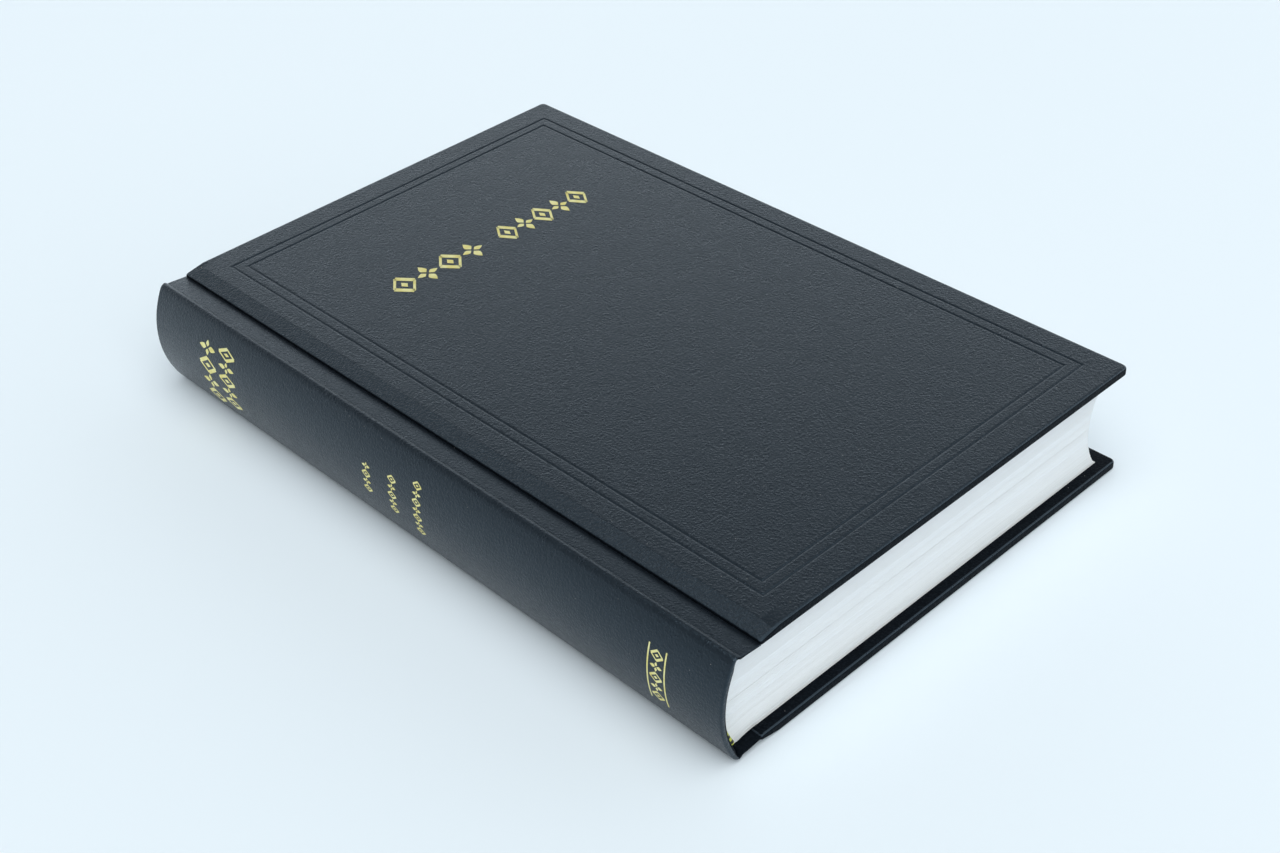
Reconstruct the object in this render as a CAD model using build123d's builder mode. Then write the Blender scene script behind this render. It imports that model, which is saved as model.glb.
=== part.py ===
"""A case-bound bible lying closed on its back cover, in millimetres.

+X runs from the spine to the fore-edge, +Y from tail to head, +Z from the back cover to the front
cover. The origin is the centre of the footprint, on the surface that the back cover rests on.
Both halves of the book are described once, as the front half, and mirrored for the rear half.
"""

import os
from math import sqrt

from build123d import *

# Overall size of the closed book
cover_width = 145.5  # from the crown of the spine to the fore-edge of the boards
cover_height = 216.0
closed_thickness = 32.0

# Case: boards, covering cloth and its turn-ins
board_thickness = 2.0
cloth_thickness = 0.4
turn_in_width = 15.0
turn_in_thickness = 0.35
corner_radius = 2.5
ridge_drop = 0.5  # the ridge of the spine stands this much below the face of the board
joint_width = 7.6  # cloth between the ridge of the spine and the step of the board
joint_depth = 2.5  # how far the joint is pressed below the face of the board
bevel_width = 4.3  # pressed slope along the spine side of the board
bevel_drop = 1.0  # how far that slope falls
joint_lap = 0.6  # how far the joint holds the under side of the board's edge

# Double frame pressed into the front cover
frame_from_step = 10.0
frame_from_fore_edge = 7.2
frame_from_head = 8.5
frame_spacing = 3.2  # from the outer line to the inner line
frame_line_width = 0.8
frame_line_depth = 0.25

# Endpapers and the cloth wings that hold the sewn block in the case
pastedown_thickness = 0.2
pastedown_margin = 4.6  # turn-in left bare at the fore-edge
flyleaf_thickness = 0.15
endpaper_setback = 2.0  # endpapers start this far past the step of the board
wing_width = 25.0

# Sewn text block
signatures_per_half = 12
fore_edge_square = 5.3  # boards stand past the outer leaves by this much at the fore-edge
head_square = 3.2  # and by this much at head and tail
shoulder_swell = 1.1  # extra half thickness that the sewing gives the block at its spine
joint_press = 0.3  # how far the pressed joint nips the block
leaf_thickness = 0.1

# Rounded spine, from the outside inwards
spine_radius = 28.0
spine_cloth_thickness = 0.45
inlay_thickness = 0.75
spine_turn_in_thickness = 0.4
hollow_gap = 0.25
lining_thickness = 0.25
mull_thickness = 0.3
mull_setback = 8.0  # mull stops this far short of the ends of the block
thread_thickness = 0.4
thread_setback = 1.5  # threads stop this far short of the shoulders
sewing_stations = 6
thread_width = 0.8
band_thickness = 1.6
band_height = 1.5
band_setback = 1.0  # bands stop this far short of the shoulders

# Running clearances
slip = 0.05  # between papers that slide on each other
hinge_gap = 0.3  # between the cloth of the spine and the cloth of the cover, at the ridge

# Heights of the front half, from the face of the cover inwards
middle = closed_thickness / 2
board_base = closed_thickness - cloth_thickness - board_thickness
turn_in_base = board_base - turn_in_thickness
pastedown_base = turn_in_base - pastedown_thickness
flyleaf_top = pastedown_base - slip
flyleaf_base = flyleaf_top - flyleaf_thickness
block_top = flyleaf_base - slip
leaf_gap = leaf_thickness / 2 + slip  # half of the room that the middle leaf takes
shoulder_reach = block_top - middle + shoulder_swell

# Radii of the layers of the spine
inlay_radius = spine_radius - spine_cloth_thickness
spine_turn_in_radius = inlay_radius - inlay_thickness
hollow_radius = spine_turn_in_radius - spine_turn_in_thickness
lining_radius = hollow_radius - hollow_gap
mull_radius = lining_radius - lining_thickness
thread_radius = mull_radius - mull_thickness
fold_radius = thread_radius - thread_thickness - slip

# Places along X
crown = -cover_width / 2
fore_edge = cover_width / 2
spine_centre = crown + spine_radius
ridge_reach = middle - ridge_drop
ridge = spine_centre - sqrt(spine_radius**2 - ridge_reach**2)
joint_foot = ridge + joint_width
board_edge = joint_foot + cloth_thickness
bevel_top = joint_foot + bevel_width
pocket_start = board_edge + joint_lap
pocket_end = fore_edge - turn_in_width
wing_edge = pocket_start + wing_width
leaf_start = joint_foot + endpaper_setback
nip = joint_foot + joint_lap
leaf_fold = spine_centre - fold_radius + slip
shoulder_fold = spine_centre - sqrt(fold_radius**2 - shoulder_reach**2)
leaf_width = fore_edge - fore_edge_square - shoulder_fold

# Half lengths along Y
half_height = cover_height / 2
board_half_height = half_height - cloth_thickness
block_half_height = half_height - head_square
pocket_half_height = half_height - turn_in_width


def save(piece, name):
    """Label a finished piece and write it to its own file."""
    piece.part.label = name
    export_step(piece.part, f"parts/{name}.step")


def mirrored(side, height):
    """A height of the front half (side 1), or the matching height of the rear half (side -1)."""
    return middle + side * (height - middle)


def slab(side, x_low, x_high, low, high, half_length):
    """A flat layer between two heights, centred along the book."""
    with BuildPart() as layer:
        with BuildSketch(Plane.XY.offset(mirrored(side, (low + high) / 2))):
            with Locations(((x_low + x_high) / 2, 0)):
                Rectangle(x_high - x_low, 2 * half_length)
        extrude(amount=(high - low) / 2, both=True)
    return layer


def board(side):
    """A pasteboard, pressed to a slope along the joint."""
    face = closed_thickness - cloth_thickness
    with BuildPart() as piece:
        with BuildSketch(Plane.XZ):
            with BuildLine():
                Polyline(
                    (board_edge, mirrored(side, board_base)),
                    (board_edge, mirrored(side, face - bevel_drop)),
                    (bevel_top, mirrored(side, face)),
                    (fore_edge - cloth_thickness, mirrored(side, face)),
                    (fore_edge - cloth_thickness, mirrored(side, board_base)),
                    close=True,
                )
            make_face()
        extrude(amount=board_half_height, both=True)
        corners = piece.edges().filter_by(Axis.Z).group_by(Axis.X)[-1]
        fillet(corners, corner_radius - cloth_thickness)
    return piece


def cover_cloth(side):
    """The covering of one board: face, wrapped edges and turn-ins, with the cloth of the joint."""
    face = closed_thickness
    joint_inside = face - ridge_drop - spine_cloth_thickness
    with BuildPart() as piece:
        with BuildSketch(Plane.XZ):
            with BuildLine():
                Polyline(
                    (ridge + hinge_gap, mirrored(side, face - ridge_drop)),
                    (joint_foot, mirrored(side, face - joint_depth)),
                    (joint_foot, mirrored(side, face - bevel_drop)),
                    (bevel_top, mirrored(side, face)),
                    (fore_edge, mirrored(side, face)),
                    (fore_edge, mirrored(side, turn_in_base)),
                    (joint_foot, mirrored(side, turn_in_base)),
                    (ridge + hinge_gap, mirrored(side, joint_inside)),
                    close=True,
                )
            make_face()
        extrude(amount=half_height, both=True)
        corners = piece.edges().filter_by(Axis.Z).group_by(Axis.X)[-1]
        fillet(corners, corner_radius)
        add(board(side).part, mode=Mode.SUBTRACT)
        pocket = slab(side, pocket_start, pocket_end, turn_in_base, board_base, pocket_half_height)
        add(pocket.part, mode=Mode.SUBTRACT)
    return piece


def front_cover_cloth():
    """The covering of the front board, with the double frame pressed into its face."""
    x_low = joint_foot + frame_from_step
    x_high = fore_edge - frame_from_fore_edge
    width = x_high - x_low
    height = cover_height - 2 * frame_from_head
    with BuildPart() as piece:
        add(cover_cloth(1).part)
        with BuildSketch(Plane.XY.offset(closed_thickness)):
            with Locations(((x_low + x_high) / 2, 0)):
                for inset in (0, 2 * frame_spacing):
                    rim = inset + 2 * frame_line_width
                    Rectangle(width - inset, height - inset)
                    Rectangle(width - rim, height - rim, mode=Mode.SUBTRACT)
        extrude(amount=-frame_line_depth, mode=Mode.SUBTRACT)
    return piece


def pastedown(side):
    """The half of an endpaper that is pasted to the board, stepping up between the turn-ins."""
    sheet = slab(
        side, leaf_start, fore_edge - pastedown_margin,
        pastedown_base, turn_in_base, block_half_height,
    )
    step = slab(side, wing_edge, pocket_end, turn_in_base, board_base, pocket_half_height)
    with BuildPart() as piece:
        add(sheet.part)
        add(step.part)
    return piece


def spine_layer(side, outer_radius, thickness, reach, lengths, x_limit=spine_centre):
    """Half of a curved layer round the spine, from the middle out to its reach, at each length."""
    with BuildPart() as layer:
        for low, high in lengths:
            with BuildSketch(Plane.XZ.offset(-low)):
                with Locations((spine_centre, middle)):
                    Circle(outer_radius)
                    Circle(outer_radius - thickness, mode=Mode.SUBTRACT)
                with Locations(((crown + x_limit) / 2, middle + side * (reach + slip) / 2)):
                    Rectangle(x_limit - crown, reach - slip, mode=Mode.INTERSECT)
            extrude(amount=-(high - low))
    return layer


def spine_inlay(side):
    """Half of the card strip that stiffens the spine of the case."""
    whole = [(-board_half_height, board_half_height)]
    return spine_layer(side, inlay_radius, inlay_thickness, shoulder_reach, whole)


def spine_cloth(side):
    """Half of the spine's covering, turned in over both ends of the inlay."""
    wrap = spine_layer(
        side, spine_radius, spine_radius - hollow_radius, ridge_reach,
        [(-half_height, half_height)], x_limit=ridge,
    )
    hollow = spine_layer(
        side, spine_turn_in_radius, spine_turn_in_thickness, middle,
        [(-pocket_half_height, pocket_half_height)],
    )
    with BuildPart() as piece:
        add(wrap.part)
        add(spine_inlay(side).part, mode=Mode.SUBTRACT)
        add(hollow.part, mode=Mode.SUBTRACT)
    return piece


def sewing_thread(side):
    """The threads that link signature to signature across the spine, one run at each station."""
    pitch = 2 * block_half_height / (sewing_stations + 1)
    runs = []
    for station in range(1, sewing_stations + 1):
        at = -block_half_height + station * pitch
        runs.append((at - thread_width / 2, at + thread_width / 2))
    reach = shoulder_reach - thread_setback
    return spine_layer(side, thread_radius, thread_thickness, reach, runs)


def end_band(side, end):
    """Half of the sewn band that stands on one end of the block, against the spine."""
    near = min(end * block_half_height, end * (block_half_height + band_height))
    reach = shoulder_reach - band_setback
    return spine_layer(side, lining_radius, band_thickness, reach, [(near, near + band_height)])


def signature(side, number):
    """One sewn section of folded leaves, thickened at its fold and nipped at the joint."""
    flat = block_top - middle - leaf_gap
    inner, outer = (number - 1) / signatures_per_half, number / signatures_per_half

    def level(share, extra):
        return middle + side * (leaf_gap + share * (flat + extra))

    def fold(share):
        rise = leaf_gap + share * (flat + shoulder_swell)
        return spine_centre - sqrt(fold_radius**2 - rise**2)

    with BuildPart() as section:
        with BuildSketch(Plane.XZ):
            with BuildLine():
                Polyline(
                    (fold(inner), level(inner, shoulder_swell)),
                    (nip, level(inner, -joint_press)),
                    (leaf_start, level(inner, 0)),
                    (fold(inner) + leaf_width, level(inner, 0)),
                    (fold(outer) + leaf_width, level(outer, 0)),
                    (leaf_start, level(outer, 0)),
                    (nip, level(outer, -joint_press)),
                    (fold(outer), level(outer, shoulder_swell)),
                    close=True,
                )
            make_face()
        extrude(amount=block_half_height, both=True)
    return section


os.makedirs("parts", exist_ok=True)

for side, half, cover in ((1, "front", "front"), (-1, "rear", "back")):
    # Case and endpapers of this cover
    save(board(side), f"{cover}_board")
    save(front_cover_cloth() if side > 0 else cover_cloth(side), f"{cover}_cover_cloth")
    wing = slab(side, pocket_start, wing_edge, turn_in_base, board_base, pocket_half_height)
    save(wing, f"{cover}_mull_wing")
    save(pastedown(side), f"{cover}_pastedown")
    flyleaf = slab(
        side, leaf_start, fore_edge - fore_edge_square,
        flyleaf_base, flyleaf_top, block_half_height,
    )
    save(flyleaf, f"{cover}_flyleaf")

    # Spine layers of this half of the book
    block_length = [(-block_half_height, block_half_height)]
    mull_length = [(mull_setback - block_half_height, block_half_height - mull_setback)]
    lining = spine_layer(side, lining_radius, lining_thickness, shoulder_reach, block_length)
    mull = spine_layer(side, mull_radius, mull_thickness, shoulder_reach, mull_length)
    save(spine_cloth(side), f"spine_cloth_{half}")
    save(spine_inlay(side), f"spine_inlay_{half}")
    save(lining, f"spine_lining_{half}")
    save(mull, f"mull_{half}")
    save(sewing_thread(side), f"sewing_thread_{half}")
    save(end_band(side, 1), f"head_band_{half}")
    save(end_band(side, -1), f"tail_band_{half}")

    # Text block of this half, numbered from the back cover to the front cover
    for number in range(1, signatures_per_half + 1):
        place = signatures_per_half + (number if side > 0 else 1 - number)
        save(signature(side, number), f"signature_{place:02d}")

leaf_half = leaf_thickness / 2
middle_leaf = slab(
    1, leaf_fold, leaf_fold + leaf_width,
    middle - leaf_half, middle + leaf_half, block_half_height,
)
save(middle_leaf, "middle_leaf")
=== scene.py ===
# %% [markdown]
# # A case-bound bible
# The construction comes in from the frame as fixed parts: boards, signatures, endpapers and the
# layers of the spine. This lesson gives them their looks. Whatever bends when the book opens is
# made again here as one piece, because cloth and paper don't stop at the line where two rigid
# bodies meet. All lengths are in millimetres and turned into metres at the last step.

# %% Load the frame
from math import cos, pi, radians, sin, sqrt

import bpy
import numpy as np
from mathutils import Matrix, Vector


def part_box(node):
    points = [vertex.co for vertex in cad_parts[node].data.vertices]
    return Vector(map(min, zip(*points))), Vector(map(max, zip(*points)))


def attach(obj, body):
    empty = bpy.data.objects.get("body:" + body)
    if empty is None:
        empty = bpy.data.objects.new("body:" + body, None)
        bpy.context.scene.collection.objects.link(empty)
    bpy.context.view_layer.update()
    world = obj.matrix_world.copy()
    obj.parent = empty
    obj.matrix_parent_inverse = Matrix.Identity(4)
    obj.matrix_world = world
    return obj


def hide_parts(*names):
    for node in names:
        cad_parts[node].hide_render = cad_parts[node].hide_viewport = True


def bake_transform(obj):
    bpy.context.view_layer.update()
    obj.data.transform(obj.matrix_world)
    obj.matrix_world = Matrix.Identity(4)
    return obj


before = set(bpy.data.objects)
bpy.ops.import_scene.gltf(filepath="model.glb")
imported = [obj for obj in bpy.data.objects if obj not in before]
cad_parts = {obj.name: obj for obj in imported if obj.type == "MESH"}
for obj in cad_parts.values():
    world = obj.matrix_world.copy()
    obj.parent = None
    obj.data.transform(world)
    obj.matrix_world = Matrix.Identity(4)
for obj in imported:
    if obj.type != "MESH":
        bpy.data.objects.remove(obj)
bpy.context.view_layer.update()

# %% [markdown]
# ## Places that the pieces share
# A node's box says where the construction put it, so the looks follow the construction when it
# changes. The front half (side 1) is described, and the rear half (side -1) mirrors it.

# %% Read sizes off the frame
def extent(node):
    """Lowest and highest corner of a node's box, in millimetres."""
    low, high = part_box(node)
    return np.array(low) * 1000, np.array(high) * 1000


cloth_low, cloth_high = extent("front_cover_cloth")
board_low, board_high = extent("front_board")
spine_low, spine_high = extent("spine_cloth_front")
leaf_low, leaf_high = extent("middle_leaf")
flyleaf_low = extent("front_flyleaf")[0]
section_low = extent("signature_13")[0]

face = cloth_high[2]
middle = face / 2
crown = spine_low[0]
ridge = spine_high[0]
fore_edge = cloth_high[0]
half_height = cloth_high[1]
leaf_half_height = leaf_high[1]
leaf_start = flyleaf_low[0]
leaf_width = leaf_high[0] - leaf_low[0]
cloth_thickness = fore_edge - board_high[0]
joint_foot = board_low[0] - cloth_thickness
turn_in_base = cloth_low[2]
board_base = board_low[2]
spine_reach = spine_high[2] - middle
print(f"book {fore_edge - crown:.1f} x {2 * half_height:.1f} x {face:.1f} mm")

# %% Sizes that only the looks need
foil_height = 0.03  # foil stands this far above the leather, which lies that far inside the case
top = face - foil_height
spine_radius = (spine_reach**2 + (ridge - crown) ** 2) / (2 * (ridge - crown))
spine_centre = crown + spine_radius
skin_radius = spine_radius - foil_height
spine_wall = 1.72  # cloth, card and turn-in together
joint_foot_depth = 2.0
bevel_width, bevel_drop = 4.3, 1.15
cover_corner = 1.2
turn_in_width = 15.0
hinge_zone = (0.2, 3.2)  # distances from the ridge between which the cloth of a real joint bends
random = np.random.default_rng(11)


def mirrored(points, side):
    """The same points in the front half, or reflected in the middle plane into the rear half."""
    moved = np.array(points, float)
    moved[..., 2] = middle + side * (moved[..., 2] - middle)
    return moved


# %% [markdown]
# ## One way to make every surface
# A closed skin is a row of loops: each loop has the same number of points, neighbours are joined
# by quads, and the first and last loops are filled. Covers, spine, leaves, bands and scraps of
# foil are all such skins. The place of each point at rest is stored too, so that a pattern
# stays on the cloth.

# %% Build closed skins from loops
def skin(name, loops, **marks):
    """Closed skins from points in mm, shaped (rows, points, 3) or (parts, rows, points, 3)."""
    loops = np.asarray(loops, float)
    parts = loops.reshape(-1, *loops.shape[-3:])
    number, rows, count, _ = parts.shape
    row = np.arange(rows - 1)[:, None]
    point = np.arange(count)[None, :]
    after, beside = row + 1, (point + 1) % count
    corners = [row * count + point, after * count + point]
    corners += [after * count + beside, row * count + beside]
    first = np.arange(number)[:, None] * rows * count
    faces = (first[..., None] + np.stack(corners, axis=-1).reshape(-1, 4)).reshape(-1, 4).tolist()
    faces += (first + np.arange(count)).tolist()
    faces += (first + rows * count - 1 - np.arange(count)).tolist()
    return make_piece(name, parts.reshape(-1, 3), faces, marks)


def make_piece(name, points, faces, marks=()):
    """An object from points in mm and faces; inside-out skins are turned by their volume."""
    mesh = bpy.data.meshes.new(name)
    mesh.from_pydata((points / 1000).tolist(), [], faces)
    mesh.calc_loop_triangles()
    triangles = np.empty(3 * len(mesh.loop_triangles), np.int32)
    mesh.loop_triangles.foreach_get("vertices", triangles)
    a, b, c = points[triangles.reshape(-1, 3)].transpose(1, 0, 2)
    if np.einsum("ij,ij->i", a, np.cross(b, c)).sum() < 0:
        mesh.flip_normals()
    rest = mesh.attributes.new("rest", "FLOAT_VECTOR", "POINT")
    rest.data.foreach_set("vector", points.astype(np.float32).ravel())
    for mark, values in dict(marks).items():
        stored = mesh.attributes.new(mark, "FLOAT", "POINT")
        stored.data.foreach_set("value", np.ravel(values).astype(np.float32))
    piece = bpy.data.objects.new(name, mesh)
    bpy.context.scene.collection.objects.link(piece)
    mesh.shade_smooth()
    mesh.set_sharp_from_angle(angle=radians(35))
    return piece


def dress(piece, slot, *materials):
    """Gives a new piece its materials; the slot is not used."""
    for material in materials:
        piece.data.materials.append(material)
    return piece


def second_finish(piece, chosen):
    """Puts the second material on the faces that the test picks, from their centres and normals."""
    count = len(piece.data.polygons)
    centres, normals = np.empty(3 * count, np.float32), np.empty(3 * count, np.float32)
    piece.data.polygons.foreach_get("center", centres)
    piece.data.polygons.foreach_get("normal", normals)
    picked = chosen(centres.reshape(-1, 3) * 1000, normals.reshape(-1, 3))
    piece.data.polygons.foreach_set("material_index", picked.astype(np.int32))
    piece.data.update()


# %% [markdown]
# ## Shader maths as Python
# A wire is the output of a node. Adding or multiplying wires adds the Math node that does it, so
# a pattern reads as a formula. Every other node comes from `Finish.node`, which takes the kind of
# node, the values or wires of its sockets, and its settings.

# %% A wire
class Wire:
    """An output of a node, with Python's operators turned into Math nodes."""

    def __init__(self, finish, socket):
        self.finish, self.socket = finish, socket

    def maths(self, operation, *values):
        return self.finish.node("Math", dict(enumerate(values)), operation=operation)

    def __add__(self, other):
        return self.maths("ADD", self, other)

    def __mul__(self, other):
        return self.maths("MULTIPLY", self, other)

    def __sub__(self, other):
        return self.maths("SUBTRACT", self, other)

    def __rsub__(self, other):
        return self.maths("SUBTRACT", other, self)

    def __truediv__(self, other):
        return self.maths("DIVIDE", self, other)

    def __gt__(self, other):
        return self.maths("GREATER_THAN", self, other)

    def __lt__(self, other):
        return self.maths("LESS_THAN", self, other)

    def __mod__(self, other):
        return self.maths("FLOORED_MODULO", self, other)

    def __abs__(self):
        return self.maths("ABSOLUTE", self)

    __radd__, __rmul__ = __add__, __mul__

    def ramp(self, low, high):
        """0 up to low, 1 from high, and a smooth rise between."""
        sockets = {"Value": self, "From Min": low, "From Max": high}
        return self.finish.node("MapRange", sockets, interpolation_type="SMOOTHSTEP")

    def band(self, low, high, edge):
        """1 between low and high, fading to 0 over an edge outside them."""
        return self.ramp(low - edge, low) * (1 - self.ramp(high, high + edge))


# %% A finish
class Finish:
    """A material with a Principled shader; shader values are given as Socket_Name=value."""

    def __init__(self, name, **shader):
        self.material = bpy.data.materials.new(name)
        self.material.use_nodes = True
        self.nodes = self.material.node_tree.nodes
        self.links = self.material.node_tree.links
        self.shader = self.nodes["Principled BSDF"]
        for key, value in shader.items():
            self.shader.inputs[key.replace("_", " ")].default_value = value

    def node(self, kind, sockets=(), out=0, **settings):
        """A node of a kind, its settings first, then its sockets; returns one of its outputs."""
        made = self.nodes.new("ShaderNode" + kind)
        for key, value in settings.items():
            setattr(made, key, value)
        for key, value in dict(sockets).items():
            if isinstance(value, Wire):
                self.links.new(value.socket, made.inputs[key])
            else:
                made.inputs[key].default_value = value
        return Wire(self, made.outputs[out])

    def place(self, stored=True):
        """Position in mm: the stored rest place of a new piece, or a node's own coordinates."""
        if stored:
            return self.node("Attribute", attribute_name="rest", out="Vector")
        own = self.node("TexCoord", out="Object")
        return self.node("VectorMath", {0: own, "Scale": 1000.0}, operation="SCALE")

    def axes(self, vector):
        """The three coordinates of a vector."""
        split = self.node("SeparateXYZ", {0: vector})
        return [Wire(self, output) for output in split.socket.node.outputs]

    def stretched(self, vector, x, y, z):
        """A vector with each coordinate multiplied, which makes a pattern long in some way."""
        return self.node("VectorMath", {0: vector, 1: (x, y, z)}, operation="MULTIPLY")

    def noise(self, vector, size, detail=2.0, roughness=0.5):
        """Noise from 0 to 1 whose features are about this many mm across."""
        sockets = {"Vector": vector, "Scale": 1 / size, "Detail": detail, "Roughness": roughness}
        return self.node("TexNoise", sockets)

    def mix(self, factor, first, second):
        """Colours mixed by a factor from 0 to 1."""
        sockets = {0: factor}
        for slot, colour in ((6, first), (7, second)):
            sockets[slot] = colour if isinstance(colour, Wire) else (*colour, 1)
        return self.node("Mix", sockets, out=2, data_type="RGBA")

    def bump(self, height, depth):
        """A normal from a height that rises this many mm from 0 to 1."""
        return self.node("Bump", {"Height": height, "Distance": depth / 1000})

    def feed(self, **wires):
        """Connects wires to the shader and returns the material."""
        for key, wire in wires.items():
            self.links.new(wire.socket, self.shader.inputs[key.replace("_", " ")])
        return self.material


# %% [markdown]
# ## Black imitation leather
# The covering is paper-backed cloth with a black coating, pressed with a fine grain: shallow
# cells under a millimetre across, with softer, longer rises between them. The cells come from a
# smooth Voronoi texture, bent by noise so that no two are alike. The coating is semi-gloss, a
# little duller in the low places, and black cloth always shows some dust, which is a sparse
# scatter of pale specks. Where the cloth was pressed hard, on the slope beside the joint, the
# grain stands out more. A second copy of the leather has almost no shine. It is painted shade that
# keeps the turned-in cloth, the upright edges and the inner faces of spine and joints dark, as
# they lie in shade. The turned-in cloth never saw the polishing plate, so part of its dullness is
# real.

# %% Leather finish
def leather_finish(name, shine, roughness):
    finish = Finish(name, Specular_IOR_Level=shine, Specular_Tint=(0.60, 0.81, 1.0, 1.0))
    place = finish.place()
    drift = finish.node("TexNoise", {"Vector": place, "Scale": 1.4, "Detail": 2.0}, out="Color")
    bent = finish.node("VectorMath", {0: drift, "Scale": 0.9}, operation="SCALE")
    bent = finish.node("VectorMath", {0: place, 1: bent}, operation="ADD")
    sockets = {"Vector": bent, "Scale": 1.6, "Smoothness": 0.45}
    cells = finish.node("TexVoronoi", sockets, feature="SMOOTH_F1")
    fine = finish.noise(place, 0.3, detail=3.0, roughness=0.65)
    soft = finish.noise(place, 6.0, detail=2.0)
    x = finish.axes(place)[0]
    pressed = x.band(joint_foot, joint_foot + bevel_width - 0.2, 0.2)
    height = (cells * -0.8 + fine * 0.6) * (1 + pressed * 1.2) + soft * 0.5
    specks = finish.node("TexVoronoi", {"Vector": place, "Scale": 0.45}, feature="F1")
    rare = finish.noise(place, 3.1, detail=0.0)
    dust = (specks < 0.052) * (rare > 0.57)
    deep = cells.ramp(0.15, 0.75)
    black = finish.mix(deep, (0.0048, 0.0068, 0.0098), (0.0026, 0.0038, 0.0056))
    colour = finish.mix(dust * 0.55, black, (0.34, 0.33, 0.31))
    gloss = roughness + deep * 0.10 + (soft - 0.5) * 0.10 + pressed * 0.08 + dust * 0.4
    normal = finish.bump(height, 0.1)
    return finish.feed(Base_Color=colour, Roughness=gloss, Normal=normal)


leather = leather_finish("black_imitation_leather", 0.62, 0.27)
# This copy of the leather, with almost no shine, is painted shade for faces that lie in shade.
shaded_leather = leather_finish("painted_shade_leather", 0.05, 0.5)

# %% [markdown]
# ## The covered boards
# Cloth is drawn over a pasteboard, wrapped round three edges and turned in under it. Seen from
# above, every line on a board is a rectangle inside a rectangle: the edge, the slope by the
# joint and the two pressed lines. So the skin is a row of rounded rectangles from the middle of
# the face to the edge, round it, under to the end of the turn-in, and back inside.
# Two extra rectangles beside each pressed line keep the light flat up to its lip.

# %% A rounded rectangle and the slope beside the joint
side_steps, corner_steps = 26, 7


def rectangle(margins, corner_fore, corner_joint):
    """Rounded rectangle inside a board, by margins at its joint, its fore-edge and its ends."""
    x_low, x_high = joint_foot + margins[0], fore_edge - margins[1]
    y_high = half_height - margins[2]
    room = min(x_high - x_low, 2 * y_high) / 2.001
    fore, joint = min(corner_fore, room), min(corner_joint, room)
    corners = [(x_high - fore, y_high - fore, fore), (x_low + joint, y_high - joint, joint)]
    corners += [(x_low + joint, joint - y_high, joint), (x_high - fore, fore - y_high, fore)]
    arcs = []
    for quarter, (x, y, radius) in enumerate(corners):
        angle = np.linspace(quarter, quarter + 1, corner_steps) * pi / 2
        arcs.append(np.stack([x + radius * np.cos(angle), y + radius * np.sin(angle)], axis=1))
    share = np.linspace(0, 1, side_steps)[1:-1, None]
    loop = []
    for arc, following in zip(arcs, arcs[1:] + arcs[:1]):
        loop += [arc, arc[-1] * (1 - share) + following[0] * share]
    return np.concatenate(loop)


def slope(x):
    """How far the face falls towards the joint: in a straight line, with its upper bend eased."""
    ease = 0.05
    reach = (joint_foot + bevel_width - x) / bevel_width
    eased = np.where(reach > ease, reach, np.clip(reach + ease, 0, None) ** 2 / (4 * ease))
    return bevel_drop * np.clip(eased, 0, 1)


# %% The rows of a cover
frame_margins = np.array([10.0, 7.2, 8.5])  # from the joint, from the fore-edge, from head and tail
frame_spacing = 3.2
line_width, line_depth = 0.9, 0.2
line_rows = (-2.2, -1.5, -1.0, -0.6, -0.3, 0, 0.3, 0.6, 1.0, 1.5, 2.2)


def face_rows(with_frame):
    """(margins, depth below the face) of each rectangle from the edge to the middle of the face.

    A pressed line is a cosine trough, half a line wide each way.
    """
    insets = (1.0, 1.4, 2.2, 3.2, 3.9, 4.1, 4.3, 4.5, 4.9, 5.6)
    rows = [(np.full(3, inset), 0.0) for inset in insets]
    for margins in (frame_margins, frame_margins + frame_spacing):
        for share in line_rows:
            depth = line_depth * (1 + cos(pi * np.clip(share, -1, 1))) / 2 if with_frame else 0
            rows.append((margins + share * line_width / 2, depth))
    inner = (fore_edge - joint_foot) / 2 - 12
    return rows + [(frame_margins + inner * share, 0.0) for share in (0.3, 0.55, 0.8, 0.98)]


def at_height(outline, height):
    """Points of a flat outline at a height, which may be one number or one for each point."""
    return np.column_stack([outline, np.broadcast_to(height, len(outline))])


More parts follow.
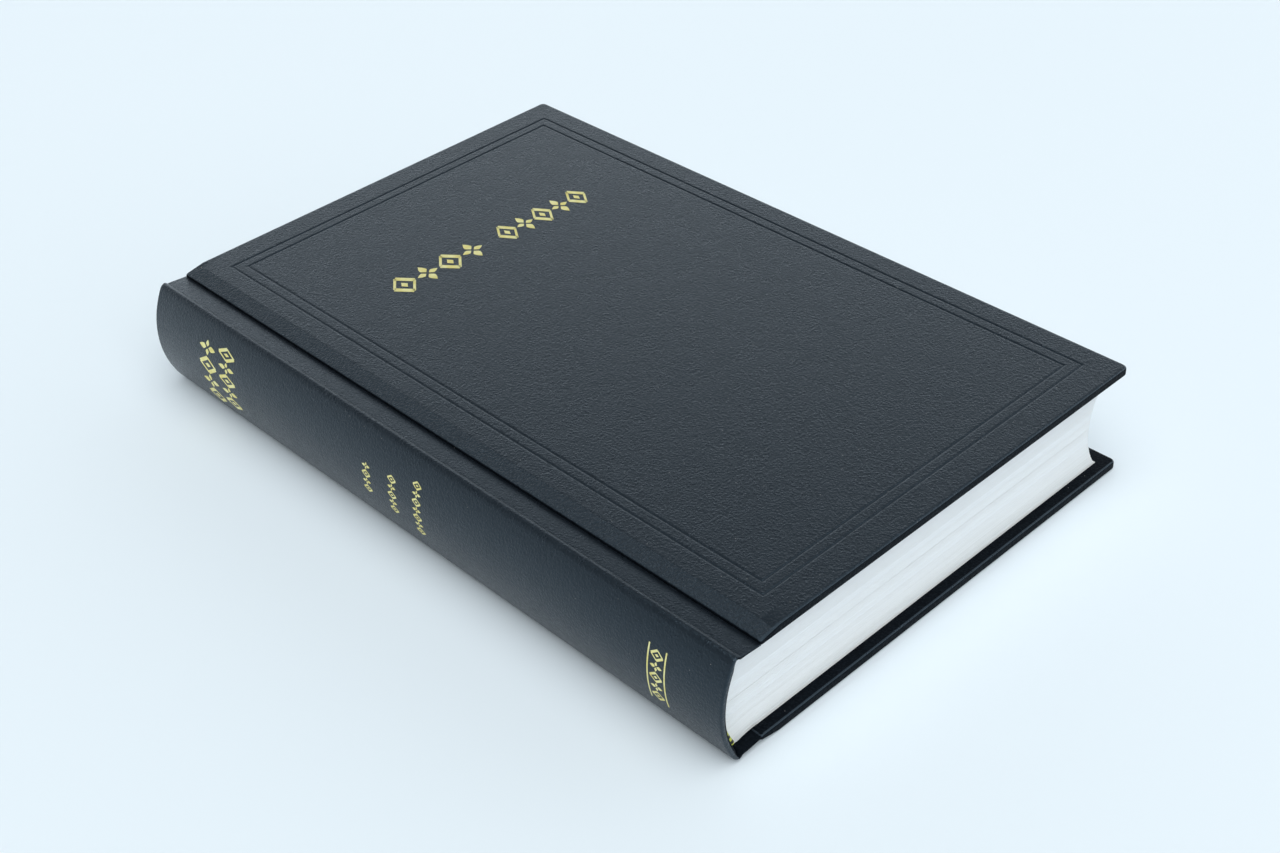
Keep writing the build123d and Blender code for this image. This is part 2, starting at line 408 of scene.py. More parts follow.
def covered_board(name, side, with_frame):
    """The skin of cloth round a board, from the middle of its face to the inside of its face.

    Its outer edge is a quarter ellipse above and a quarter circle below.
    """
    loops = []
    for margins, depth in reversed(face_rows(with_frame)):
        flat = rectangle(margins, max(cover_corner - margins.min(), 0.35), 0.3)
        loops.append(at_height(flat, top - depth - slope(flat[:, 0])))
    edge, joint_edge, lower = 0.7, 0.22, 0.6
    for turn in np.radians(np.linspace(0, 90, 8)):
        flat = rectangle(np.array([joint_edge, edge, edge]) * (1 - sin(turn)), cover_corner, 0.6)
        loops.append(at_height(flat, top - edge * (1 - cos(turn)) - slope(flat[:, 0])))
    for turn in np.radians(np.linspace(0, 90, 7)):
        flat = rectangle(np.full(3, lower * (1 - cos(turn))), cover_corner, 0.6)
        loops.append(at_height(flat, turn_in_base + lower * (1 - sin(turn))))
    clearance = 0.03  # between the cloth's inner skin and the board
    under = [(3.0, turn_in_base), (9.0, turn_in_base), (turn_in_width - 0.15, turn_in_base)]
    under += [(turn_in_width, turn_in_base + 0.12), (turn_in_width, board_base - clearance)]
    for margin, height in under:
        flat = rectangle(np.array([min(margin, 1.2), margin, margin]), 1.0, 0.4)
        loops.append(at_height(flat, height))
    wall = cloth_thickness - clearance
    for height in (board_base - clearance, top - bevel_drop - wall):
        loops.append(at_height(rectangle(np.full(3, wall), 2.1, 0.5), height))
    for margin in (wall + 0.3, bevel_width, bevel_width + 1, 30.0, 60.0):
        flat = rectangle(np.full(3, margin), 1.0, 0.5)
        loops.append(at_height(flat, top - wall - slope(flat[:, 0])))
    piece = skin(name, mirrored(loops, side))

    def shaded_faces(centre, normal):
        """Painted shade: turned-in cloth and upright edges; the rounding between them keeps its
        shine.
        """
        upright, flat = abs(normal[:, 2]) < 0.4, abs(normal[:, 2]) > 0.93
        inside = abs(centre[:, 2] - middle) < board_base - middle
        return upright | (inside & flat)

    # The faces picked here get the low-shine leather copy, which is painted shade.
    second_finish(piece, shaded_faces)
    return dress(piece, "covering", leather, shaded_leather)


front_cover = covered_board("front_cover_leather", 1, True)
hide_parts("front_cover_cloth")
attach(front_cover, "front_cover")
back_cover = covered_board("back_cover_leather", -1, False)
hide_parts("back_cover_cloth")
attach(back_cover, "back_cover")
print("points in a cover:", len(front_cover.data.vertices))

# %% [markdown]
# ## The spine and the joints
# The case's spine is an arc. At each shoulder it turns over a ridge and dips into the joint,
# where the cloth is pressed against the board's edge. One line across the book gives all of it.
# A strip is that line with a closed loop standing on it at every point: along the outside, round
# the end, back along the inside. Three strips share the line, parted where one body hands over
# to the next.

# %% The line across the spine
def bezier(start, start_way, end, end_way, steps):
    """Cubic curve from start to end, leaving and arriving along the two ways."""
    share = np.linspace(0, 1, steps)[:, None]
    back = 1 - share
    start, end = np.array(start), np.array(end)
    near, far = start + np.array(start_way), end - np.array(end_way)
    return back**3 * start + 3 * back**2 * share * near + 3 * back * share**2 * far + share**3 * end


def spine_arc(radius, reach, steps=72):
    """Points (x, z) on the arc about the spine's centre, from the rear reach to the front reach."""
    angle = np.linspace(-np.arcsin(reach / radius), np.arcsin(reach / radius), steps)
    x, z = spine_centre - radius * np.cos(angle), middle + radius * np.sin(angle)
    return np.stack([x, z], axis=1)


def across(line):
    """Unit vectors that point inwards, square to a line of (x, z) points."""
    way = np.gradient(line, axis=0)
    way /= np.linalg.norm(way, axis=1)[:, None]
    return np.stack([way[:, 1], -way[:, 0]], axis=1)


ridge_bend = 1.8  # the arc hands over to the ridge this far below its top
arc_reach = spine_reach - ridge_bend
arc_angle = np.arcsin(arc_reach / skin_radius)
arc_way = np.array([sin(arc_angle), cos(arc_angle)])
slope_start = np.array([ridge + 1.75, top - 1.5])
slope_way = np.array([0.66, -0.75])
arc_end = spine_arc(skin_radius, arc_reach, 2)[1]
ridge_line = bezier(arc_end, arc_way * 1.9, slope_start, slope_way * 1.25, 30)
seam = int(np.argmax(ridge_line[:, 1]))
joint_end = np.array([joint_foot + 0.2, top - joint_foot_depth])
joint_line = bezier(slope_start, (1.5, -0.02), joint_end, (2.4, -0.2), 22)
print(f"ridge stands {face - ridge_line[seam, 1]:.2f} mm below the face")


# %% Loops and strips
def strip_loops(line, loop, wall=1.0):
    """Loops of (y, depth) set square to a line of (x, z); depths are multiplied by the wall."""
    inward = across(line)
    depth = loop[None, :, 1] * np.broadcast_to(wall, len(line))[:, None]
    x = line[:, None, 0] + inward[:, None, 0] * depth
    z = line[:, None, 1] + inward[:, None, 1] * depth
    return np.stack([x, np.broadcast_to(loop[None, :, 0], x.shape), z], axis=-1)


def turned_in_loop(cloth, roll, lap):
    """A wall of depth 1: cloth of a share of it, rolled round both ends and turned in by a lap."""
    angle = np.radians(np.linspace(0, 90, 6))
    roll_y = half_height - roll * (1 - np.sin(angle))
    roll_depth = roll / spine_wall * (1 - np.cos(angle))
    half = [(0.0, 0.0), (half_height / 2, 0.0)]
    half += list(zip(roll_y, roll_depth))
    half += list(zip(roll_y[::-1], 1 - roll_depth[::-1]))
    half += [(half_height - lap, 1.0), (half_height - lap, 1 - cloth)]
    half += [(half_height - cloth, 1 - cloth), (half_height - cloth, cloth), (0.0, cloth)]
    half = np.array(half)
    return np.concatenate([half, half[-2:0:-1] * [-1, 1]])


def flat_loop(half_length, ends=0.0):
    """A plain closed loop of depth 1 as long as a strip, its corners rounded by a share of that."""
    angle = np.radians(np.linspace(0, 90, 5)) if ends else np.full(1, pi / 2)
    y = half_length - ends * (1 - np.sin(angle))
    depth = ends * (1 - np.cos(angle))
    half = [(0, 0)] + list(zip(y, depth)) + list(zip(y[::-1], 1 - depth[::-1])) + [(0, 1)]
    half = np.array(half)
    return np.concatenate([half, half[-2:0:-1] * [-1, 1]])


def bend_at_spine(piece):
    """Bakes the piece's transform into its mesh; nothing here makes it bend."""
    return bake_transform(piece)


def bend_at_joint(piece, zone=hinge_zone):
    """Bakes the piece's transform into its mesh; nothing here makes it bend."""
    start, end = [((ridge + far) / 1000, 0, face / 1000) for far in zone]
    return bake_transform(piece)


# %% Spine leather and joint leather
front_ridge = ridge_line[: seam + 1]
rear_ridge = front_ridge[::-1] * [1, -1] + [0, 2 * middle]
arc = spine_arc(skin_radius, arc_reach)
spine_line = np.concatenate([rear_ridge[:-1], arc, front_ridge[1:]])
thinning = np.clip((abs(spine_line[:, 1] - middle) - arc_reach + 1.5) / 2.6, 0, 1)
spine_walls = spine_wall - 0.75 * thinning  # no card or turn-in reaches the ridge
spine_roll = 0.62  # how far the cloth rolls over at head and tail
spine_loop = turned_in_loop(cloth_thickness / spine_wall, spine_roll, turn_in_width)
spine_leather = skin("spine_leather", strip_loops(spine_line, spine_loop, spine_walls))


def inside_spine(centre, normal):
    """Faces that lie more than a millimetre inside the arc of the case."""
    return np.hypot(centre[:, 0] - spine_centre, centre[:, 2] - middle) < skin_radius - 1


# Inner faces of the spine's cloth get the painted-shade copy of the leather.
second_finish(spine_leather, inside_spine)
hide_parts("spine_cloth_front", "spine_cloth_rear")
bend_at_spine(dress(spine_leather, "covering", leather, shaded_leather))


def joint_leather(name, side):
    """Cloth from the ridge down into the joint, thinner where it is pressed against the board."""
    line = np.concatenate([ridge_line[seam:], joint_line[1:]])
    walls = np.linspace(0.8, 0.45, len(line))
    loops = strip_loops(line, flat_loop(half_height, 0.2), walls)
    piece = skin(name, mirrored(loops, side))
    # Inside and ends of the joint's cloth get the painted-shade copy of the leather.
    second_finish(piece, lambda centre, normal: normal[:, 2] * side < 0.3)
    return bend_at_joint(dress(piece, "covering", leather, shaded_leather))


joint_leather("front_joint_leather", 1)
joint_leather("back_joint_leather", -1)
print("spine line has", len(spine_line), "points")

# %% [markdown]
# ## Paper, board, gauze and thread
# One recipe serves every paper: fibres are noise drawn out in one direction, flocks are softer
# noise, and the surface is matte. The edges of the leaves have a finish that varies with the
# leaf's number, so that each lies a little darker or lighter than the next.

# %% Paper finishes
def paper_pattern(finish, place, flock):
    """Fibres that run along the page, and a tone that follows them and flocks of a size in mm."""
    fibres = finish.noise(finish.stretched(place, 3.0, 0.8, 3.0), 0.5, detail=4.0)
    cloudy = finish.noise(place, flock, detail=3.0)
    return fibres, (cloudy * 0.6 + fibres * 0.4).ramp(0.35, 0.65)


def paper_finish(name, pale, dark, flock, stored=True, bump=0.02):
    """Matte paper whose colour varies between two tones."""
    finish = Finish(name, Specular_IOR_Level=0.25)
    fibres, tone = paper_pattern(finish, finish.place(stored), flock)
    normal = finish.bump(fibres, bump)
    return finish.feed(
        Base_Color=finish.mix(tone, dark, pale), Roughness=0.72 + fibres * 0.15, Normal=normal
    )


endpaper_pale, endpaper_dark = (0.80, 0.79, 0.76), (0.76, 0.75, 0.71)
endpaper = paper_finish("endpaper", endpaper_pale, endpaper_dark, 4.0)
pasteboard = paper_finish("pasteboard", (0.44, 0.38, 0.30), (0.33, 0.28, 0.21), 1.2, False, 0.05)
card = paper_finish("spine_card", (0.52, 0.46, 0.36), (0.45, 0.39, 0.30), 2.0)
lining = paper_finish("lining_paper", (0.64, 0.57, 0.44), (0.56, 0.49, 0.37), 2.0)


def leaf_edge_finish():
    """Cut edges of thin leaves: tone and height change from leaf to leaf and run along them."""
    finish = Finish("leaf_edges", Specular_IOR_Level=0.2)
    leaf = finish.node("Attribute", attribute_name="leaf", out="Fac")
    place = finish.place()
    x, y, z = finish.axes(place)
    along = finish.node("CombineXYZ", {0: leaf * 9.0, 1: x * 0.02, 2: y * 0.02})
    lines = finish.node("TexNoise", {"Vector": along, "Scale": 1.0, "Detail": 3.0})
    broad = finish.node("CombineXYZ", {0: leaf * 0.9, 1: x * 0.008, 2: y * 0.008})
    drift = finish.node("TexNoise", {"Vector": broad, "Scale": 1.0, "Detail": 2.0})
    tone = (lines * 0.65 + drift * 0.35).ramp(0.36, 0.62)
    lower = 1 - z.ramp(2.0, 14.0)
    pale = finish.mix(lower * 0.5, (0.79, 0.81, 0.83), (0.79, 0.775, 0.745))
    shade = (1 - tone) * (0.3 + lower * 0.7)
    colour = finish.mix(shade, pale, (0.66, 0.665, 0.66))
    normal = finish.bump(lines, 0.012)
    return finish.feed(Base_Color=colour, Roughness=0.62 + lines * 0.2, Normal=normal)


# %% [markdown]
# A page carries two columns of fine print. From reading distance it is grey texture: lines of
# short dashes with gaps between them, and a rule between the columns. Nothing can be read.

# %% Printed page finish
def page_finish():
    finish = Finish("printed_page", Specular_IOR_Level=0.22)
    place = finish.place()
    x, y, _ = finish.axes(place)
    across_page = x - (leaf_start + leaf_low[0] + leaf_width) / 2
    column = abs(abs(across_page) - 28.0)
    inside = (column < 24.5) * (abs(y) < leaf_half_height - 11.0)
    line_pitch = 2.7
    lines_up = y / line_pitch
    row = lines_up.maths("FLOOR", lines_up)
    strokes = abs(lines_up % 1.0 - 0.5) < 0.24
    sockets = {0: x * 0.42, 1: row * 7.3, 2: (across_page > 0) * 31.0}
    words = finish.node("TexNoise", {"Vector": finish.node("CombineXYZ", sockets), "Scale": 1.0})
    sockets = {0: x * 2.6, 1: y * 2.2 + row * 5.1}
    glyphs = finish.node("TexNoise", {"Vector": finish.node("CombineXYZ", sockets), "Scale": 1.0})
    ink = inside * strokes * (words > 0.43) * glyphs.ramp(0.38, 0.56)
    divider = (abs(across_page) < 0.12) * (abs(y) < leaf_half_height - 11.0)
    fibres = finish.noise(finish.stretched(place, 3.0, 0.8, 3.0), 0.5, detail=4.0)
    paper = finish.mix(fibres, (0.78, 0.78, 0.76), (0.83, 0.83, 0.81))
    inked = ink * 0.78 + divider * 0.5
    colour = finish.mix(inked, paper, (0.05, 0.05, 0.055))
    normal = finish.bump(fibres, 0.01)
    return finish.feed(Base_Color=colour, Roughness=0.7 + fibres * 0.1, Normal=normal)


leaf_edges = leaf_edge_finish()
printed_page = page_finish()


# %% Gauze, thread and end-band finishes
def gauze_finish(name, stored=True):
    """Open, stiffened weave: crossed threads that stand above dark gaps."""
    finish = Finish(name, Specular_IOR_Level=0.2)
    x, y, z = finish.axes(finish.place(stored))
    warp = abs((y / 0.9) % 1.0 - 0.5).ramp(0.1, 0.3)
    weft = abs(((x + z) / 0.9) % 1.0 - 0.5).ramp(0.1, 0.3)
    threads = 1 - (1 - warp) * (1 - weft)
    threads = threads * (0.9 + 0.1 * finish.noise(finish.place(stored), 3.0))
    colour = finish.mix(threads, (0.42, 0.38, 0.30), (0.78, 0.76, 0.70))
    normal = finish.bump(threads, 0.08)
    return finish.feed(Base_Color=colour, Roughness=0.9 - threads * 0.1, Normal=normal)


def thread_finish():
    """Waxed thread: two plies twisted round each other, drawn as slanting ribs."""
    finish = Finish("waxed_thread", Specular_IOR_Level=0.4)
    _, y, z = finish.axes(finish.place())
    plies = abs(((y + z * 0.8) / 0.45) % 1.0 - 0.5) * 2.0
    colour = finish.mix(plies, (0.66, 0.62, 0.52), (0.87, 0.85, 0.79))
    normal = finish.bump(plies, 0.1)
    return finish.feed(Base_Color=colour, Roughness=0.5 + plies * 0.1, Normal=normal)


def band_finish():
    """Woven band: yellow-green and black bars side by side, each made of fine threads."""
    finish = Finish("striped_band", Specular_IOR_Level=0.35)
    place = finish.place()
    z = finish.axes(place)[2]
    bars = abs((z / 2.2) % 1.0 - 0.5).ramp(0.23, 0.27)
    threads = abs((z / 0.31) % 1.0 - 0.5) * 2.0
    worn = finish.noise(place, 0.8, detail=2.0)
    yellow = finish.mix(worn, (0.45, 0.50, 0.05), (0.66, 0.68, 0.12))
    colour = finish.mix(bars, yellow, (0.02, 0.02, 0.018))
    normal = finish.bump(threads * 0.7 + worn * 0.3, 0.12)
    return finish.feed(Base_Color=colour, Roughness=0.55 + threads * 0.2, Normal=normal)


gauze = gauze_finish("gauze")

# %% [markdown]
# ## Layers of the spine
# Inside the case a card stiffens the spine, and the sewn block has its own layers: threads that
# link the sections, gauze over them, paper over that, and a woven band at each end. Each is an
# arc about the same centre, made as one strip from shoulder to shoulder.

# %% Card, lining, gauze and thread
def outer_radius(node):
    """Radius of a layer of the spine, from the lowest x of its box."""
    return spine_centre - extent(node)[0][0]


def spine_layer(name, nodes, wall, slot, finish, ends=0.0, inset=0.0):
    """An arc strip as long and as wide as the two CAD halves that it replaces."""
    high = extent(nodes[0])[1]
    radius, reach = outer_radius(nodes[0]) - inset, high[2] - middle
    loops = strip_loops(spine_arc(radius, reach), flat_loop(high[1], ends), wall)
    piece = dress(skin(name, loops), slot, finish)
    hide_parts(*nodes)
    return bend_at_spine(piece)


def halves(layer):
    """Names of the two CAD halves of a layer."""
    return f"{layer}_front", f"{layer}_rear"


spine_layer("spine_card", halves("spine_inlay"), 0.72, "inlay_card", card, inset=0.02)
spine_layer("spine_lining_paper", halves("spine_lining"), 0.24, "lining_paper", lining)
spine_layer("spine_gauze", halves("mull"), 0.28, "mull", gauze)

thread_low, thread_high = extent("sewing_thread_front")
stations = np.linspace(-thread_high[1] + 0.4, thread_high[1] - 0.4, 6)
turn = np.linspace(0, 2 * pi, 10, endpoint=False)
round_loop = np.stack([0.4 * np.cos(turn), 0.5 + 0.5 * np.sin(turn)], axis=1)
thread_line = spine_arc(outer_radius("sewing_thread_front"), thread_high[2] - middle)
one_thread = strip_loops(thread_line, round_loop, 0.38)
threads = one_thread + np.array([[0, y, 0] for y in stations])[:, None, None, :]
sewing = dress(skin("sewing_threads", threads), "thread", thread_finish())
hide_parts(*halves("sewing_thread"))
bend_at_spine(sewing)
print("threads at", stations.round(1))

# %% Bands at head and tail
striped = band_finish()


def end_band(layer, end):
    """A bead on one end of the block: a rounded loop on a flat base, carried along the arc."""
    low, high = extent(f"{layer}_front")
    radius, reach = outer_radius(f"{layer}_front"), high[2] - middle
    angle = np.radians(np.linspace(-90, 90, 9))
    y = leaf_half_height + 0.6 * (high[1] - low[1]) * np.cos(angle) ** 0.8
    bead = np.stack([end * y, 0.5 + 0.5 * np.sin(angle)], axis=1)
    loops = strip_loops(spine_arc(radius - 0.03, reach), bead, 1.5)
    piece = dress(skin(layer, loops), "end_band", striped)
    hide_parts(*halves(layer))
    return bend_at_spine(piece)


end_band("head_band", 1)
end_band("tail_band", -1)

# %% [markdown]
# ## The leaves
# A sewn section is a pile of thin leaves. At their folds they fan out over the rounded spine,
# swell at the shoulders and are nipped where the joint is pressed, so they follow one line: the
# shoulder, the nip, and then flat out to the fore-edge. Every leaf is a strip of rectangles that
# stand across the page. Each is cut a few hundredths of a millimetre long or short, and that
# makes the edge of the block read as paper.

# %% Shape of the block
sections, leaves = 12, 16
leaf_gap = section_low[2] - middle
block_top = flyleaf_low[2] - 0.05
flat_rise = block_top - middle - leaf_gap
swell = extent("signature_24")[1][2] - block_top
press, nip = 0.3, joint_foot + 0.6
fold_radius = sqrt((spine_centre - section_low[0]) ** 2 + leaf_gap**2)
stations_x = np.array([0.0, 0.12, 0.26, 0.42, 0.6, 0.8, 1.0])  # shares of the way from fold to nip


def leaf_line(share):
    """(x, height above the middle) of a leaf's face, for an array of shares of the block.

    Height is the share of the block's height plus a swell that fades from fold to nip, dips
    there, and is gone where the endpapers start.
    """
    share = np.asarray(share)[..., None]
    rise = leaf_gap + share * (flat_rise + swell)
    fold = spine_centre - np.sqrt(fold_radius**2 - rise**2)
    near = fold + (nip - fold) * stations_x
    ease = stations_x**2 * (3 - 2 * stations_x)
    extra = swell + (-press - swell) * (0.35 * stations_x + 0.65 * ease)
    flat_x = np.array([leaf_start, leaf_start + 20, leaf_start + 60])
    x = np.concatenate([near, flat_x + 0 * fold, fold + leaf_width], axis=-1)
    extra = np.concatenate([extra, np.zeros(4)])
    return x, leaf_gap + share * (flat_rise + extra)


def leaf_loops(x, low, high, tail, head):
    """Rectangles that stand across leaves at each x, from tail to head and from low to high."""
    corners = [(tail, low), (head, low), (head, high), (tail, high)]
    loops = [np.stack([x, np.broadcast_to(y, x.shape), z + 0 * x], axis=-1) for y, z in corners]
    return np.stack(loops, axis=-2)


def section(side, number):
    """One section's leaves as closed skins in one mesh, with each leaf's number stored."""
    place = sections + (number if side > 0 else 1 - number)
    edges = (number - 1 + np.linspace(0, 1, leaves + 1)) / sections
    gap = 0.04 / leaves / sections
    x, low = leaf_line(edges[:-1] + gap)
    high = leaf_line(edges[1:] - gap)[1]
    cut = np.clip(random.normal(0, 0.025, (3, leaves, 1)), -0.06, 0.06)
    x[:, -1:] += cut[0]
    tail, head = -leaf_half_height + cut[1], leaf_half_height + cut[2]
    loops = mirrored(leaf_loops(x, middle + low, middle + high, tail, head), side)
    leaf_number = np.broadcast_to((side * edges[:-1] * sections)[:, None, None], loops.shape[:-1])
    piece = skin(f"section_{place:02d}", loops, leaf=leaf_number + 20)
    second_finish(piece, lambda centre, normal: abs(normal[:, 2]) > 0.9)
    dress(piece, "text_paper", leaf_edges, printed_page)
    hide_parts(f"signature_{place:02d}")
    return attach(piece, "front_block" if side > 0 else "rear_block")


for side in (1, -1):
    for number in range(1, sections + 1):
        section(side, number)
print("leaves:", 2 * sections * leaves)

# %% [markdown]
# ## Leaves that turn
# A loose leaf can't turn as a stiff board does: its root stays in the fold of the book and the
# rest curves up. The sheet at the centre of the book is folded round the middle leaf. Where a
# cover opens, a strip of endpaper bridges from the shoulder of the block.

# %% Middle leaf, flyleaves and centre sheet
def turning_leaf(name, node, slot, finish):
    """A flat leaf the size of its node, cut across x into strips that lie closer near its root."""
    low, high = extent(node)
    x = low[0] + (high[0] - low[0]) * np.linspace(0, 1, 80) ** 1.3
    loops = leaf_loops(x, low[2] + 0.005, high[2] - 0.005, low[1], high[1])
    leaf_number = np.full(loops.shape[:-1], 20.0)
    piece = dress(skin(name, loops, leaf=leaf_number), slot, leaf_edges, finish)
    second_finish(piece, lambda centre, normal: abs(normal[:, 2]) > 0.9)
    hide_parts(node)
    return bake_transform(piece)


turning_leaf(
    "middle_page", "middle_leaf", "text_paper", printed_page
)
for half, block in (("front", "front_block"), ("back", "rear_block")):
    body = f"{half}_flyleaf"
    name = f"{half}_free_endpaper"
    turning_leaf(name, body, "endpaper", endpaper)


def centre_sheet():
    """A sheet folded round the middle leaf: out along the rear, across the fold, back in front."""
    out, near, depth = leaf_low[0] + 12, section_low[0] - 0.04, leaf_gap - 0.01
    bend = np.linspace(-1, 1, 25)
    flat = np.linspace(out, near + 0.05, 8)
    rear = np.stack([flat, np.full(8, middle - depth)], axis=1)
    fold = np.stack([near + 0.02 * bend**2, middle + depth * bend], axis=1)
    front = np.stack([flat[::-1], np.full(8, middle + depth)], axis=1)
    line = np.concatenate([rear, fold, front])
    piece = skin("centre_sheet", strip_loops(line, flat_loop(leaf_half_height - 0.1), 0.025))
    dress(piece, "text_paper", endpaper)
    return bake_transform(piece)


centre_sheet()


# %% Endpaper across each joint
def joint_paper(name, side):
    """Endpaper from the shoulder of the block to the pastedown, under the cloth of the joint."""
    shoulder = spine_centre - sqrt(fold_radius**2 - (leaf_gap + flat_rise + swell) ** 2) + 0.15
    start = (shoulder, block_top + swell + 0.2)
    end = (joint_foot - 0.3, turn_in_base - 0.07)
    line = bezier(start, (1.6, -0.55), end, (1.8, -0.15), 24)
    line = np.concatenate([line, [(leaf_start - 0.6, end[1]), (leaf_start - 0.02, end[1])]])
    loops = strip_loops(line, flat_loop(leaf_half_height), 0.12)
    piece = dress(skin(name, mirrored(loops, side)), "endpaper", endpaper)
    return bend_at_joint(piece, (shoulder - ridge, joint_foot - ridge - 1.0))


joint_paper("front_joint_paper", 1)
joint_paper("back_joint_paper", -1)

# %% [markdown]
# ## Parts that keep their own shape
# The boards, the gauze wings and the pastedowns are right as the construction has them, so they
# only get finishes. Under a pastedown the edges of the turned-in cloth stand proud, and the
# paper shows them as a soft step.

# %% Finishes for fixed parts
def pastedown_finish():
    finish = Finish("pastedown", Specular_IOR_Level=0.25)
    place = finish.place(False)
    x, y, _ = finish.axes(place)
    fibres, tone = paper_pattern(finish, place, 5.0)
    y_step, x_step = half_height - turn_in_width, fore_edge - turn_in_width
    sunk = (abs(y) < y_step) * (x < x_step)
    ledge = 1 - abs(y).ramp(y_step - 0.5, y_step + 0.5)
    ledge = ledge * (1 - x.ramp(x_step - 0.5, x_step + 0.5))
    colour = finish.mix(tone, endpaper_dark, endpaper_pale)
    colour = finish.mix(sunk * 0.06, colour, (0.70, 0.69, 0.66))
    normal = finish.bump(fibres * 0.1 - ledge, 0.25)
    return finish.feed(Base_Color=colour, Roughness=0.75 + fibres * 0.1, Normal=normal)


def finish_node(node, material):
    """Puts a material in every slot of a fixed part."""
    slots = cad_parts[node].material_slots
    if slots:
        for place in slots:
            place.material = material
    else:
        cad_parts[node].data.materials.append(material)


pasted, wing_gauze = pastedown_finish(), gauze_finish("wing_gauze", False)
for cover in ("front", "back"):
    finish_node(f"{cover}_board", pasteboard)
    finish_node(f"{cover}_mull_wing", wing_gauze)
    finish_node(f"{cover}_pastedown", pasted)

# %% [markdown]
# ## Gold foil
# Every ornament is a set of strokes a fraction of a millimetre high. A stroke is a line with a
# width at each point, made a closed tile by a rectangular section. Two ornaments serve for
# everything: a lozenge round a smaller one, and a star of four petals. The same strokes are laid
# flat on the cover and round the arc of the spine.

# %% Strokes and ornaments
def stroke(points, widths, steps=9):
    """Centre line and half widths, resampled so that a long stroke can follow the spine."""
    points = np.array(points, float)
    share = np.linspace(0, len(points) - 1, steps)
    index = np.arange(len(points))
    line = np.stack([np.interp(share, index, points[:, axis]) for axis in (0, 1)], axis=1)
    return line, np.interp(share, np.linspace(0, len(points) - 1, len(widths)), widths) / 2


def lozenge(centre, width, height, weight):
    """Four slanting strokes round a diamond, thick and thin in turn, and a solid diamond inside."""
    corners = np.array([(0, 1), (1, 0), (0, -1), (-1, 0)]) * [width / 2, height / 2] + centre
    strokes = []
    for number in range(4):
        thick = weight if number % 2 == 0 else weight * 0.5
        strokes.append(stroke([corners[number], corners[(number + 1) % 4]], [thick, thick]))
    tall = [centre - [0, height * 0.17], centre + [0, height * 0.17]]
    strokes.append(stroke(tall, [0.02, width * 0.3, 0.02]))
    return strokes


def petals(centre, width, height, weight):
    """Four leaf-shaped strokes that point away from a centre, upright and level."""
    strokes = []
    for way in np.array([(0, 1), (1, 0), (0, -1), (-1, 0)]):
        tip, root = centre + way * [width / 2, height / 2], centre + way * [width, height] * 0.07
        broad = weight * (1.35 if way[0] else 1.6)
        strokes.append(stroke([root, tip], [0.05, broad, broad * 0.7, 0.03]))
    return strokes


def row(middle_point, pitch, count, height, weight):
    """Ornaments in a row, the two kinds in turn, each a little narrower than the pitch."""
    strokes = []
    for number in range(count):
        centre = np.array(middle_point) + [(number - (count - 1) / 2) * pitch, 0]
        ornament = lozenge if number % 2 == 0 else petals
        strokes += ornament(centre, pitch * 0.86, height, weight)
    return strokes


# %% Lay strokes on the cover and on the spine
def on_cover(places, rise):
    """Places (x, y) on the face of the front cover, raised by a height."""
    height = np.full((*places.shape[:-1], 1), top + rise)
    return np.concatenate([places, height], axis=-1)


def on_spine(places, rise):
    """Places (z from the middle, y) wrapped on the arc of the spine, raised by a height."""
    angle = places[..., 0] / skin_radius
    radius = skin_radius + rise
    x, z = spine_centre - radius * np.cos(angle), middle + radius * np.sin(angle)
    return np.stack([x, places[..., 1], z], axis=-1)


def foil_finish():
    finish = Finish("gold_foil", Specular_IOR_Level=0.5)
    place = finish.place()
    grain = finish.noise(place, 0.35, detail=3.0, roughness=0.6)
    cloudy = finish.noise(place, 2.5, detail=2.0)
    colour = finish.mix(cloudy.ramp(0.3, 0.7), (0.88, 0.76, 0.26), (0.96, 0.89, 0.44))
    return finish.feed(
        Base_Color=colour,
        Metallic=0.75 + grain * 0.1,
        Roughness=0.34 + grain * 0.18,
        Normal=finish.bump(grain, 0.03),
    )


foil = foil_finish()


def stamped(name, strokes, surface):
    """One mesh of closed tiles: a stroke's two edges, at the foil's height and under the skin."""
    lines = np.array([line for line, half in strokes])
    half_widths = np.array([half for line, half in strokes])[..., None]
    way = np.gradient(lines, axis=1)
    way /= np.linalg.norm(way, axis=-1, keepdims=True)
    aside = np.stack([-way[..., 1], way[..., 0]], axis=-1) * half_widths
    edges = [lines - aside, lines + aside]
    upper = [surface(edge, foil_height * 0.9) for edge in edges]
    lower = [surface(edge, -0.06) for edge in edges]
    loops = np.stack([upper[0], upper[1], lower[1], lower[0]], axis=-2)
    return dress(skin(name, loops), "foil", foil)


# each row: its middle, then pitch, number of ornaments, height and weight
title = row((-12.2, 56.1), 8.0, 4, 8.6, 1.5) + row((25.8, 56.1), 6.6, 5, 8.6, 1.35)
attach(stamped("front_cover_foil", title, on_cover), "front_cover")
head_rows = row((-0.4, 82.6), 5.3, 4, 7.2, 1.1) + row((1.1, 73.8), 3.9, 5, 7.0, 0.9)
middle_rows = row((0.9, 13.2), 2.3, 4, 3.1, 0.5) + row((0.8, 3.0), 2.3, 5, 3.1, 0.5)
middle_rows += row((1.3, -6.6), 2.3, 7, 3.1, 0.5)
tail_rows = row((0.2, -88.5), 3.0, 5, 3.6, 0.6)
for y in (-85.9, -91.1):
    tail_rows.append(stroke([(-7.9, y), (8.3, y)], [0.42, 0.42]))
for name, strokes in (("head", head_rows), ("middle", middle_rows), ("tail", tail_rows)):
    bend_at_spine(stamped(f"spine_{name}_foil", strokes, on_spine))
print("strokes of foil:", sum(map(len, (title, head_rows, middle_rows, tail_rows))))

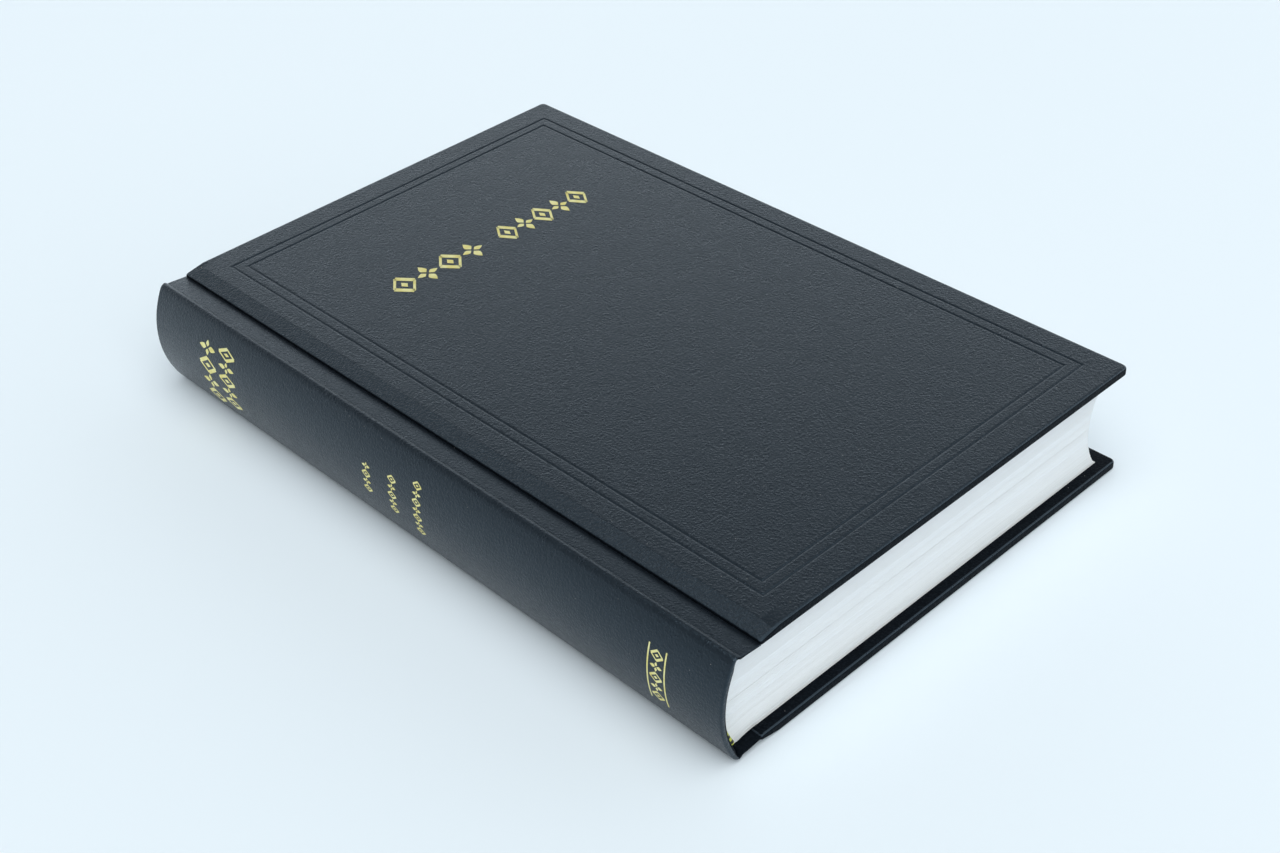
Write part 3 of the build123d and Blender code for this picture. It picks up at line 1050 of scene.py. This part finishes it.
# %% [markdown]
# ## The floor, the light and the camera
# A black object is shown by what it reflects, so the surroundings matter more than any lamp. They
# are one pale, slightly blue field, brightest near the horizon and dim overhead: the faces that
# look up and away from the camera pick up the bright part, and the slopes that face the camera
# stay dark. It dims again on the spine's side, which leaves a dark band below the ridge. One
# broad lamp far above gives the soft shadow and lights the floor evenly. The camera stands at
# the tail, on the spine side.

# %% Floor and lights
def pale_floor():
    reach = 20000.0
    corners = np.array([(-1, -1, 0), (1, -1, 0), (1, 1, 0), (-1, 1, 0)]) * reach
    floor = make_piece("floor", corners, [(0, 1, 2, 3)])
    finish = Finish("pale_floor", Roughness=0.6, Specular_IOR_Level=0.2)
    tone = finish.noise(finish.place(), 400.0)
    colour = finish.mix(tone, (0.80, 0.86, 0.895), (0.82, 0.875, 0.91))
    floor.data.materials.append(finish.feed(Base_Color=colour))


def surroundings(horizon, overhead, colour):
    """A world that dims from the horizon to the zenith, and again towards the spine's side."""
    world = bpy.data.worlds.new("studio")
    bpy.context.scene.world = world
    world.use_nodes = True
    nodes, links = world.node_tree.nodes, world.node_tree.links
    place, split = nodes.new("ShaderNodeTexCoord"), nodes.new("ShaderNodeSeparateXYZ")
    links.new(place.outputs["Generated"], split.inputs[0])
    both = nodes.new("ShaderNodeMath")
    both.operation = "MULTIPLY"
    ways = [("Z", (0.04, 0.8, horizon, overhead)), ("X", (-0.85, 0.35, 0.3, 1.0))]
    for number, (way, limits) in enumerate(ways):
        fall = nodes.new("ShaderNodeMapRange")
        fall.interpolation_type = "SMOOTHSTEP"
        for key, value in zip(("From Min", "From Max", "To Min", "To Max"), limits):
            fall.inputs[key].default_value = value
        links.new(split.outputs[way], fall.inputs["Value"])
        links.new(fall.outputs[0], both.inputs[number])
    links.new(both.outputs[0], nodes["Background"].inputs["Strength"])
    nodes["Background"].inputs["Color"].default_value = (*colour, 1)


def soft_light(name, place, aim, size, watts, colour):
    """A square lamp that faces its aim."""
    data = bpy.data.lights.new(name, "AREA")
    data.shape, data.size, data.energy, data.color = "SQUARE", size, watts, colour
    lamp = bpy.data.objects.new(name, data)
    bpy.context.scene.collection.objects.link(lamp)
    lamp.location = place
    lamp.rotation_euler = (Vector(aim) - Vector(place)).to_track_quat("-Z", "Y").to_euler()


pale_floor()
surroundings(1.9, 0.13, (0.86, 0.94, 1.0))
soft_light("overhead", (-2.4, -3.6, 9.9), (0, 0, 0), 14.4, 1500, (0.93, 0.975, 1.0))
bpy.context.scene.view_settings.view_transform = "Standard"

# %% Camera
camera_place = Vector((-0.2707, -0.3042, 0.3008))
camera_heading, camera_drop, camera_roll = radians(42.46), radians(36.57), radians(-3.09)
camera_data = bpy.data.cameras.new("camera")
camera_data.sensor_width, camera_data.lens = 36.0, 52.86
camera = bpy.data.objects.new("camera", camera_data)
bpy.context.scene.collection.objects.link(camera)
turned = Matrix.Rotation(-camera_heading, 4, "Z")
turned = turned @ Matrix.Rotation(radians(90) - camera_drop, 4, "X")
turned = turned @ Matrix.Rotation(camera_roll, 4, "Z")
camera.matrix_world = Matrix.Translation(camera_place) @ turned
bpy.context.scene.camera = camera
